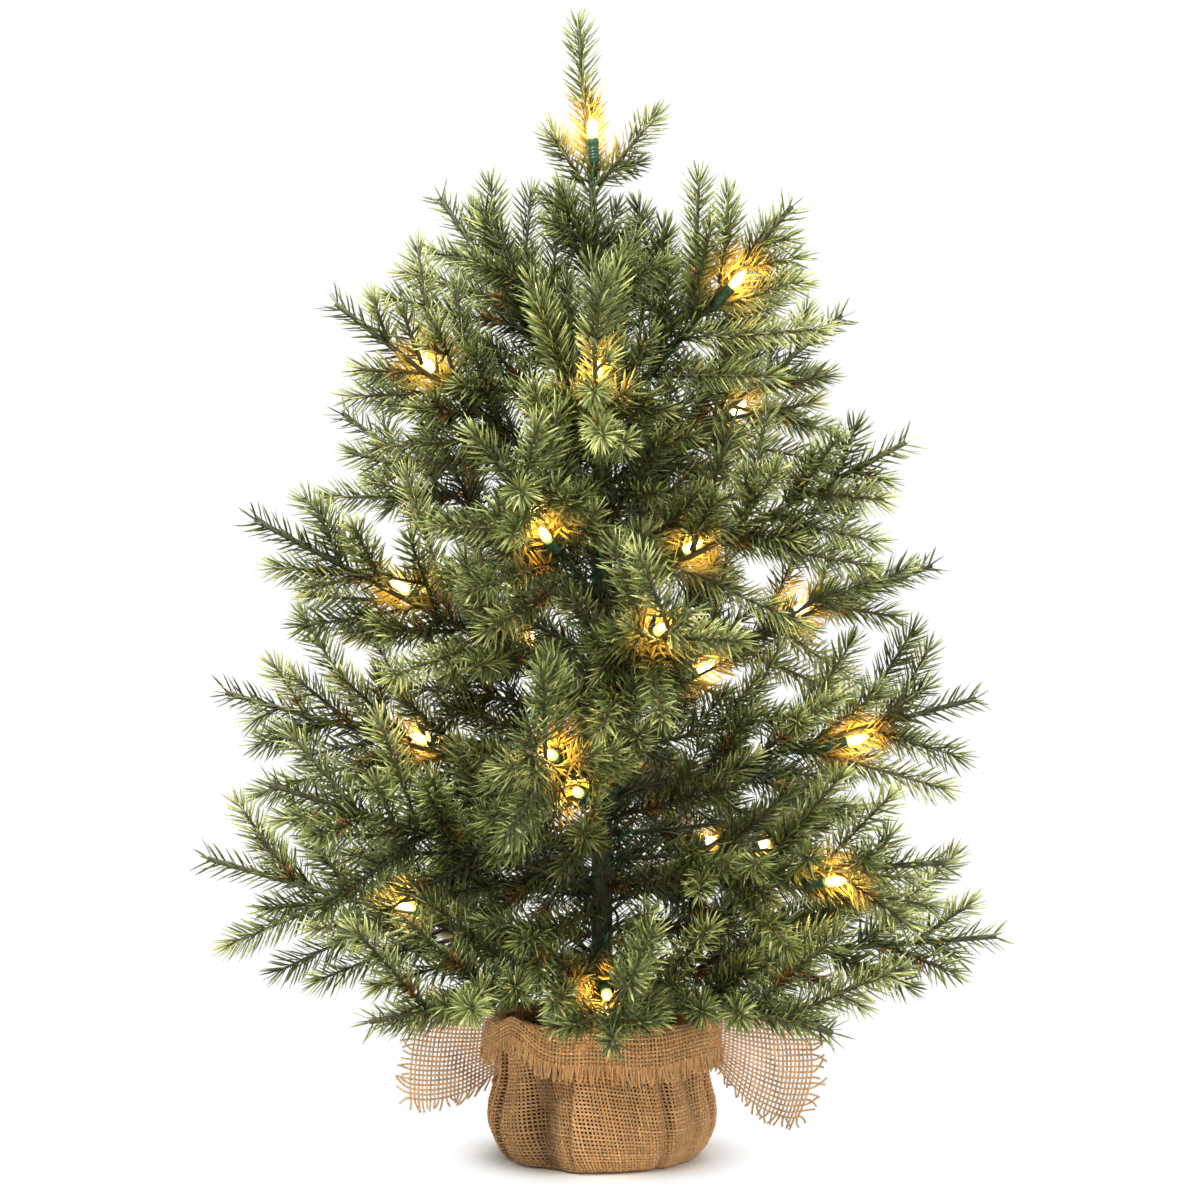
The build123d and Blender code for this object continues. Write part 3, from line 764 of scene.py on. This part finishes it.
def note_lamps():
    """Fills CLEAR, LIT and BACKERS from the solids of the lamps."""
    for node in LAMP_NODES:
        body = lamp_body(node)
        number = 0
        for foot, tip, foot_radius, tip_radius in rods(node, joint_place(body)):
            if foot_radius <= THIN_ROD:
                continue
            CLEAR.append((foot, tip, BULB_REACH))
            if tip_radius >= BULB_TIP:
                continue
            middle = (foot + tip) / 2
            if number != UNLIT.get(node):
                LIT.append(middle)
            way = unit_rows(tip - foot)
            behind = unit_rows(middle - FRONT) * 9
            backer = bent(middle - way * 26 + behind * 0.5, middle + way * 15 + behind, 0 * way)
            BACKERS.setdefault(body, []).append(backer)
            number += 1
            if node in BACK_LAMPS:
                CLEAR.append((middle, middle + unit_rows(middle * [1, 1, 0]) * 90, BACK_REACH))
            else:
                far = middle + unit_rows(FRONT - middle) * (200 + middle[1])
                CLEAR.append((middle, far, SIGHT_REACH))


note_lamps()
for body_name in sorted(frame["bodies"]):
    if body_name.startswith("branch_"):
        foliage(body_name, body_name)
foliage("leader", "leader")


# ---------- lamps ----------
def twisted_pair(foot, tip):
    """Two thin wires twisted round each other from foot to tip."""
    reach = 0.42
    pitch = 6.0
    length = np.linalg.norm(tip - foot)
    way = (tip - foot) / length
    side, up = across(way)
    along = np.linspace(0, length, max(8, int(length / pitch * 8)))
    wires = []
    for start in (0, math.pi):
        turn = along / pitch * 2 * math.pi + start
        offset = np.cos(turn)[:, None] * side + np.sin(turn)[:, None] * up
        wires.append(foot + way * along[:, None] + offset * reach)
    lines = np.array(wires)
    sides, ups = line_frames(lines)
    thick = np.full(lines.shape[:2], 2 * reach * 0.95)
    return tubes(lines, sides, ups, thick, thick, 5)


def ribbed(length, radius):
    """The outline of a lamp holder: a waist, ribs and a collar."""
    outline = [(radius * 0.35, 0.0), (radius * 0.7, 0.05), (radius * 0.8, 1.2)]
    for k in range(4):
        z = 2.0 + k * 1.6
        outline += [(radius * 0.84, z), (radius * 0.95, z + 0.4), (radius * 0.95, z + 0.9),
                    (radius * 0.84, z + 1.3)]
    outline += [(radius * 0.9, length - 3.6), (radius, length - 3.0), (radius, length - 0.2),
                (radius * 0.93, length)]
    return outline


# outlines of a bulb's shell and of the glow in it, as (radius, along)
SHELL = [(1.9, 0.1), (2.35, 0.6), (2.6, 2.0), (2.65, 4.5), (2.5, 7.0), (2.05, 9.0),
         (1.3, 10.4), (0.6, 11.1), (0.35, 11.6), (0.12, 11.9)]
GLOW = [(0.5, 0.3), (1.2, 1.6), (1.9, 3.2), (2.1, 5.4), (1.8, 7.2), (1.0, 8.6), (0.2, 9.4)]


def lamps(node, body):
    """Each lamp of a node: its twisted lead, ribbed holder, clear shell and glowing core."""
    found = rods(node, joint_place(body))
    leads = [r for r in found if r[2] < THIN_ROD]
    holders = [r for r in found if r[2] >= THIN_ROD and r[3] > BULB_TIP]
    bulbs = [r for r in found if r[2] >= THIN_ROD and r[3] <= BULB_TIP]
    parts = [twisted_pair(r[0], r[1]) for r in leads]
    lead = mesh_piece(f"leads_{node}", *joined(parts), LEAD, body, "lead")
    parts = []
    for foot, tip, _, _ in holders:
        length = np.linalg.norm(tip - foot)
        way = (tip - foot) / length
        parts.append(turned(ribbed(length, HOLDER_RADIUS), foot, way))
    mesh_piece(f"holders_{node}", *joined(parts), HOLDER, body, "lead")
    shells = []
    cores = []
    for k, (foot, tip, _, _) in enumerate(bulbs):
        way = (tip - foot) / np.linalg.norm(tip - foot)
        if k == UNLIT.get(node):
            mesh_piece(f"dim_bulb_{node}", *turned(SHELL, foot, way), DIM_GLASS, body, "lamp")
            continue
        shells.append(turned(SHELL, foot, way))
        cores.append(turned(GLOW, foot, way))
        data = bpy.data.lights.new(f"glow_{node}_{k}", "POINT")
        data.energy = GLOW_POWER
        data.color = (1.0, 0.50, 0.12)
        data.shadow_soft_size = 0.004
        glow = bpy.data.objects.new(data.name, data)
        bpy.context.scene.collection.objects.link(glow)
        glow.location = (foot + way * 6.0) * MM
        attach(glow, body)
    for kind, forms, finish in (("bulbs", shells, GLASS), ("cores", cores, CORE)):
        if forms:
            piece = mesh_piece(f"{kind}_{node}", *joined(forms), finish, body, "lamp")
            piece.visible_shadow = False
    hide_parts(node)


for node_name in LAMP_NODES:
    lamps(node_name, lamp_body(node_name))


# ---------- trunk ----------
def finish_nodes(finishes):
    """Gives CAD nodes that show as they are their materials."""
    for node, finish in finishes:
        NODES[node].data.materials.clear()
        NODES[node].data.materials.append(finish)


finish_nodes([("trunk_pole", TRUNK), ("trunk_bindings", TRUNK), ("light_string", LEAD)])


def trunk_foliage():
    """The garland wound round the pole, and the short sprigs that fill the tree's middle."""
    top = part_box("trunk_pole")[1].z / MM
    spans = ((TRUNK_FOOT, 250.0), (250.0, top))
    count = 0
    for number, (start, end) in enumerate(spans, 1):
        z = np.linspace(start, end, 30)
        pole_line = np.stack([0 * z, 0 * z, z], 1)
        sprigs = []
        height = start + 12
        while height < end:
            share = (height - TRUNK_FOOT) / (top - TRUNK_FOOT)
            azimuth = count * GOLDEN_TURN + rng.normal(0, 0.2)
            rise = math.radians(-5 + 61 * share + rng.normal(0, 7))
            out = np.array([math.cos(azimuth), math.sin(azimuth), 0])
            way = out * math.cos(rise) + np.array([0, 0, math.sin(rise)])
            length = (112 - 54 * share) * rng.uniform(0.8, 1.1)
            foot = out * 6.0 + np.array([0, 0, height])
            line = bent(foot, foot + way * length, round_about(way) * 0.03 * length, 9)
            sprigs.append((line, 1.1, 0.6, "sprig"))
            for _ in range(2):
                start_at = foot + way * length * rng.uniform(0.3, 0.75)
                line = twig(start_at, way, round_about(way), 44, rng.uniform(26, 36))
                sprigs.append((line, 0.8, 0.5, "twig"))
            height += 4.4 if height < 215 else 6.2
            count += 1
        dressed(f"trunk_{number}", sprigs, "trunk")
        feet, ways, curls, sizes, tones = needle_rows(
            pole_line, TRUNK_ROW_PITCH, TRUNK_ROW_NEEDLES, 62, 19, 0.02, False)
        out = unit_rows(feet * np.array([1, 1, 0]))
        feet = feet + out * 5.0
        # the garland's needles get low tones, the painted shade of the tree's middle
        tones = rng.normal(0.12, 0.1, len(feet))
        widths = NEEDLE_WIDTH * rng.uniform(0.8, 1.2, len(feet))
        tints = green(tones)
        tints[rng.random(len(tints)) < 0.08] = STRIP
        points, faces, shades = blades(feet, ways, curls, sizes, widths, tints)
        mesh_piece(f"garland_{number}", points, faces, FOLIAGE, "trunk", "foliage", shades,
                   np.zeros(len(points)))


trunk_foliage()

# ---------- base ----------
finish_nodes([
    ("base_tub", TUB), ("ballast", CEMENT), ("battery_case", CASE), ("battery_cover", CASE),
    ("battery_cells", CELL), ("battery_contacts", CONTACT), ("switch_knob", CASE),
])

TAN = np.array([0.62, 0.345, 0.140])
RUST = np.array([0.40, 0.18, 0.050])
STRAW = np.array([0.74, 0.49, 0.26])
CREAM = np.array([0.86, 0.70, 0.48])


def jute_tints(n, m, corners, pale=0.0):
    """A colour for every point of n threads: each thread has its own shade, and slubs vary it."""
    shade = rng.uniform(0.35, 0.72, n)
    low = RUST + (TAN - RUST) * np.clip(shade * 2, 0, 1)[:, None]
    colour = low + (STRAW - TAN) * np.clip(shade * 2 - 1, 0, 1)[:, None]
    colour = colour + (CREAM - colour) * pale
    wander = smooth_noise(n, m, 9, 0.11)
    return np.repeat((colour[:, None] * (1 + wander[..., None])).reshape(-1, 3), corners, axis=0)


def smooth_noise(n, m, run, size):
    """(n, m) noise that wanders slowly along each of n rows."""
    knots = rng.normal(0, size, (n, m // run + 3))
    at = np.arange(m) / run
    k = at.astype(int)
    share = at - k
    share = share * share * (3 - 2 * share)
    return knots[:, k] * (1 - share) + knots[:, k + 1] * share


def threads(surface, u, v, offset, pale=0.0, shade=None):
    """Threads over a surface: u, v and offset are (n, m); surface(u, v) gives points and normals."""
    n, m = u.shape
    points, normals = surface(u, v)
    lines = points + normals * offset[..., None]
    sides, ups = line_frames(lines, normals)
    lines = lines + sides * smooth_noise(n, m, 12, 0.07)[..., None]
    widths = THREAD_WIDTH * (1 + smooth_noise(n, m, 5, 0.09))
    heights = THREAD_THICK * (1 + smooth_noise(n, m, 5, 0.10))
    mesh_points, faces = tubes(lines, sides, ups, widths, heights, THREAD_CORNERS)
    tints = jute_tints(n, m, THREAD_CORNERS, pale)
    if shade is not None:
        tints = tints * np.repeat(shade(u, v).reshape(-1, 1), THREAD_CORNERS, axis=0)
    return mesh_points, faces, tints


def cloth_piece(name, parts):
    """One piece from several (points, faces, tints)."""
    points, faces = joined([(p, f) for p, f, _ in parts])
    tints = np.concatenate([t for _, _, t in parts])
    return mesh_piece(name, points, faces, JUTE, "trunk", "burlap", tints)


def weave(surface, width, length, pitch, around=False, swing=0.30, pale=0.0, shade=None):
    """Warp and weft threads over a surface of width (u) by length (v), each over and under the other."""
    warps = int(round(width / pitch))
    wefts = int(round(length / pitch))
    step = width / warps if around else pitch
    k = np.arange(warps)[:, None]
    t = np.arange(2 * wefts + 1)[None] / 2
    u = (k + 0.5) * step + 0 * t
    v = t * pitch + 0 * k
    warp = threads(surface, u, v, swing * np.cos(math.pi * (t - 0.5 + k)), pale, shade)
    j = np.arange(wefts)[:, None]
    t = np.arange(2 * warps + 1)[None] / 2
    u = t * step + 0 * j
    v = (j + 0.5) * pitch + 0 * t
    weft = threads(surface, u, v, -swing * np.cos(math.pi * (t - 0.5 + j)), pale, shade)
    return warp, weft


def facing(points, du, dv):
    """Unit normals of a surface from points sampled a little way along u and along v."""
    return unit_rows(np.cross(du - points, dv - points))


def surface_from(shape):
    """surface(u, v) -> points and outward normals, for a function shape(u, v) -> points."""
    def surface(u, v):
        points = shape(u, v)
        return points, facing(points, shape(u + 0.4, v), shape(u, v + 0.4))
    return surface


# the sack: an outline of (radius, height) up its side, and folds pressed into it
SACK_OUTLINE = np.array([
    (47.6, 0.7), (50.5, 2.0), (54.0, 6.0), (56.3, 10.5), (58.2, 16.0), (58.6, 21.0), (57.8, 28.0),
    (56.0, 34.0), (54.4, 40.0), (53.4, 46.0), (53.2, 52.0), (53.6, 60.0), (54.6, 72.4),
])
SACK_RADIUS = 58.3        # its girth is the length that the weave has round the sack
SACK_WIDEST = 62.5
# pleats: azimuth, depth, angular width, share of the depth left at the foot
SACK_PLEATS = [
    (207, 6.0, 3.4, 0.6), (238, 9.0, 8.5, 0.6), (285, 1.6, 3.0, 0.3), (304, 3.0, 3.0, 0.6),
    (324, 3.4, 5.0, 0.2), (345, 5.0, 4.5, 0.2), (12, 6.0, 5.0, 0.3), (43, 5.0, 5.0, 0.2),
    (75, 7.0, 5.0, 0.2), (104, 5.0, 5.0, 0.4), (132, 7.0, 5.0, 0.2), (163, 6.0, 5.0, 0.3),
    (188, 5.0, 4.0, 0.2),
]
LAP_AZIMUTH = 256         # where the cloth laps over itself, in a sharp upright edge
LAP_DEPTH = 3.4


def sack_slant(u, v):
    """The azimuth of a place on the sack, whose threads run aslant."""
    azimuth = u / SACK_RADIUS
    slant = 0.36 * np.sin(azimuth * 2 + 1.9) + 0.14 * np.sin(azimuth * 3 + 0.4)
    return azimuth + slant * (v - 40) / SACK_RADIUS


def sack_shade(u, v):
    """How much darker the jute is, deep in the folds where no light reaches."""
    turn = np.degrees(sack_slant(u, v))
    shade = np.ones(u.shape)
    for place, depth, wide, foot in SACK_PLEATS:
        away = (turn - place + 180) % 360 - 180
        deep = np.exp(-(away / wide) ** 2) * (foot + (1 - foot) * np.clip(v / 60, 0, 1))
        shade *= 1 - min(0.10 * depth, 0.68) * deep
    # painted shadow: the cloth just beside the lap's raised edge is darker, where that edge shades it
    away = (turn - LAP_AZIMUTH + 180) % 360 - 180
    return shade * (1 - 0.35 * (away < 0) * np.exp(-(away / 3) ** 2))


def sack_shape(u, v):
    """The sack's side: u runs round it and v up it, from the foot."""
    steps = run_along(SACK_OUTLINE)
    azimuth = sack_slant(u, v)
    rise = v + 3.2 * np.sin(azimuth * 3 + 1.1) * np.clip(v / 30, 0, 1) * np.clip((84 - v) / 30, 0, 1)
    radius = np.interp(rise, steps, SACK_OUTLINE[:, 0])
    height = np.interp(rise, steps, SACK_OUTLINE[:, 1])
    share = np.clip(height / 60, 0, 1)
    turn = np.degrees(azimuth)
    for place, depth, wide, foot in SACK_PLEATS:
        away = (turn - place + 180) % 360 - 180
        inward = np.exp(-(away / wide) ** 2)
        before = np.exp(-((away - 1.8 * wide) / wide) ** 2)
        after = np.exp(-((away + 1.8 * wide) / wide) ** 2)
        beside = 0.42 * (before + after)
        radius = radius - depth * (foot + (1 - foot) * share ** 1.3) * (inward - beside)
    away = (turn - LAP_AZIMUTH + 180) % 360 - 180
    edge = 1 / (1 + np.exp(-away / 0.4))
    lap = edge * np.exp(-(away / 22) ** 2) - 0.6 * (1 - edge) * np.exp(-(away / 12) ** 2)
    radius = radius + LAP_DEPTH * lap * np.clip(height / 14, 0, 1)
    # the cloth stays outside the tub
    tub = np.where(height < 51, 47.2 + height * 0.113, 45.0)
    radius = np.clip(radius, tub, SACK_WIDEST)
    return np.stack([radius * np.cos(azimuth), radius * np.sin(azimuth), height], -1)


def make_sack():
    girth = 2 * math.pi * SACK_RADIUS
    rows = int(run_along(SACK_OUTLINE)[-1] / SACK_PITCH) * SACK_PITCH
    warp, weft = weave(surface_from(sack_shape), girth, rows, SACK_PITCH, True, shade=sack_shade)
    warp_piece = cloth_piece("sack_warp", [warp])
    weft_piece = cloth_piece("sack_weft", [weft])
    # the sack's floor, a flat weave under the tub
    parts = []
    reach = 45.0
    lines = int(2 * reach / SACK_PITCH)
    for hand in (0, 1):
        for k in range(lines):
            place = (k - (lines - 1) / 2) * SACK_PITCH
            half = math.sqrt(max(reach**2 - place**2, 9))
            t = np.arange(int(2 * half / SACK_PITCH * 2) + 2) * SACK_PITCH / 2
            t = t - t.mean()
            wave = 0.18 * np.cos(math.pi * (t / SACK_PITCH + k)) * (1 if hand else -1)
            line = np.stack([t, t * 0 + place, t * 0 + 0.62 + wave], -1)
            if hand:
                line = line[:, [1, 0, 2]]
            line = line[None]
            sides, ups = line_frames(line, np.zeros_like(line) + np.array([0, 0, 1.0]))
            thick = np.full(line.shape[:2], THREAD_WIDTH)
            points, faces = tubes(line, sides, ups, thick, thick * 0.55)
            parts.append((points, faces, jute_tints(1, line.shape[1], 4)))
    bottom = cloth_piece("sack_floor", parts)
    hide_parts("burlap_sack")


make_sack()

# the cuff: turned out over the tie, its hem frayed
CUFF_RADIUS = 60.0


def cuff_shape(u, v):
    """The folded cuff: v runs up inside the neck, over the fold and down outside."""
    azimuth = u / CUFF_RADIUS
    front = np.degrees(azimuth)
    lifted = np.exp(-(((front - 222 + 180) % 360 - 180) / 14) ** 2)
    path = np.array([(52.6, 60.0), (52.4, 66.0), (52.8, 71.0), (54.6, 73.4), (57.0, 73.2), (58.9, 70.6),
                     (60.1, 66.0), (60.9, 60.0), (61.5, 54.0)])
    steps = run_along(path)
    radius = np.interp(v, steps, path[:, 0])
    height = np.interp(v, steps, path[:, 1])
    extra = np.maximum(v - steps[-1], 0)
    height = height - extra
    radius = radius + 0.12 * extra
    over = np.clip((v - 14) / 10, 0, 1)
    ripple = 0.9 * np.sin(azimuth * 9 + 1) + 0.7 * np.sin(azimuth * 14 + 2.6) + 0.5 * np.sin(azimuth * 23)
    radius = radius + ripple * over * 0.8
    height = height + over * (9.0 * lifted + 1.6 * np.sin(azimuth * 2 + 0.9) + 0.8 * np.sin(azimuth * 7))
    return np.stack([radius * np.cos(azimuth), radius * np.sin(azimuth), height], -1)


def make_cuff():
    girth = 2 * math.pi * CUFF_RADIUS
    rows = 18 * SACK_PITCH
    surface = surface_from(cuff_shape)
    warp, weft = weave(surface, girth, rows, SACK_PITCH, around=True)
    warp_piece = cloth_piece("cuff_warp", [warp])
    weft_piece = cloth_piece("cuff_weft", [weft])
    count = int(round(girth / SACK_PITCH * 1.8))
    k = np.arange(count)[:, None]
    t = np.linspace(0, 1, 8)[None]
    reach = rng.uniform(6.0, 10.0, count)[:, None]
    u = (k + 0.5) * girth / count + rng.normal(0, 1.3, count)[:, None] * t**1.6
    v = rows - 1.0 + reach * t
    stand = 0.25 * np.sin(k * 2.4) + rng.normal(0, 0.6, count)[:, None] * t**2
    fringe = threads(surface, u, v, stand)
    fringe_piece = cloth_piece("cuff_fringe", [fringe])
    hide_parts("burlap_cuff")


make_cuff()


# the ears: two corners of the sack's cloth, pulled out sideways and frayed
def make_ear(name, corners, sag, bulge, folds, fringe_sides, replaces):
    """A corner of cloth. corners are four (x, z) points: neck low, neck high, out high, out low."""
    a, b, c, d = (np.array(p, float) for p in corners)
    width = (np.linalg.norm(d - a) + np.linalg.norm(c - b)) / 2
    length = (np.linalg.norm(b - a) + np.linalg.norm(c - d)) / 2

    def shape(u, v):
        s = (u / width)[..., None]
        t = (v / length)[..., None]
        flat = a * (1 - s) * (1 - t) + d * s * (1 - t) + c * s * t + b * (1 - s) * t
        droop = 4 * s * (1 - s) * (1 - t)
        swell = s * 4 * t * (1 - t)
        flat = flat + np.array([0, -sag]) * droop + np.array([bulge, 0]) * swell
        x, z = flat[..., 0], flat[..., 1]
        y = np.full(x.shape, EAR_PLANE)
        for (fx, fz), angle, deep, wide in folds:
            across_fold = (x - fx) * math.cos(math.radians(angle)) + (z - fz) * math.sin(math.radians(angle))
            y = y - deep * np.exp(-(across_fold / wide) ** 2)
        y = y + 1.2 * np.sin(x * 0.11 + z * 0.07)
        return np.stack([x, y, z], -1)

    surface = surface_from(shape)
    warps = int(width / EAR_PITCH)
    wefts = int(length / EAR_PITCH)
    warp, weft = weave(surface, warps * EAR_PITCH, wefts * EAR_PITCH, EAR_PITCH, swing=0.28, pale=0.22)
    warp_piece = cloth_piece(f"{name}_warp", [warp])
    weft_piece = cloth_piece(f"{name}_weft", [weft])
    loose = []
    for side, reach in fringe_sides:
        count = wefts if side == "out" else warps
        k = np.arange(count)[:, None]
        t = np.linspace(0, 1, 9)[None]
        far = rng.uniform(0.6, 1.1, count)[:, None] * reach
        drift = rng.normal(0, 2.2, count)[:, None] * t**1.7
        if side == "out":
            u = warps * EAR_PITCH - 0.6 + far * t
            v = (k + 0.5) * EAR_PITCH + drift
        elif side == "low":
            u = (k + 0.5) * EAR_PITCH + drift
            v = 0.6 - far * t
        else:
            u = (k + 0.5) * EAR_PITCH + drift
            v = wefts * EAR_PITCH - 0.6 + far * t
        stand = rng.normal(0, 1.2, count)[:, None] * t**2
        loose.append(threads(surface, u, v, stand, 0.30))
    fringe_piece = cloth_piece(f"{name}_fringe", loose)
    if replaces:
        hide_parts(replaces)


make_ear("left_ear", [(-53, 44), (-50, 76), (-92, 85), (-101, 29)], 6, -3,
         [((-88, 60), 35, 3.0, 6), ((-70, 50), 60, -2.5, 6)], [("out", 7), ("low", 5), ("high", 5)],
         "burlap_ears")
make_ear("right_ear", [(57, 50), (60, 74), (102, 80), (103, 19)], 9, 9,
         [((92, 60), 62, -4.0, 5), ((94, 36), 10, 3.5, 4)], [("out", 7), ("low", 4), ("high", 5)], None)


def make_tie():
    """The twine round the neck: two plies twisted together."""
    low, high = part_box("neck_tie")
    radius = (high.x - low.x) / 2 / MM - 1.2
    height = (low.z + high.z) / 2 / MM
    turn = np.linspace(0, 2 * math.pi, 400)
    lines = []
    for start in (0, math.pi):
        twist = turn * 60 + start
        r = radius + 0.55 * np.cos(twist)
        lines.append(np.stack([r * np.cos(turn), r * np.sin(turn), height + 0.55 * np.sin(twist)], -1))
    lines = np.array(lines)
    sides, ups = line_frames(lines)
    thick = np.full(lines.shape[:2], 1.1)
    points, faces = tubes(lines, sides, ups, thick, thick, 5)
    tie = mesh_piece("tie_twine", points, faces, JUTE, "trunk", "twine", jute_tints(2, 400, 5))
    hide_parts("neck_tie")


make_tie()
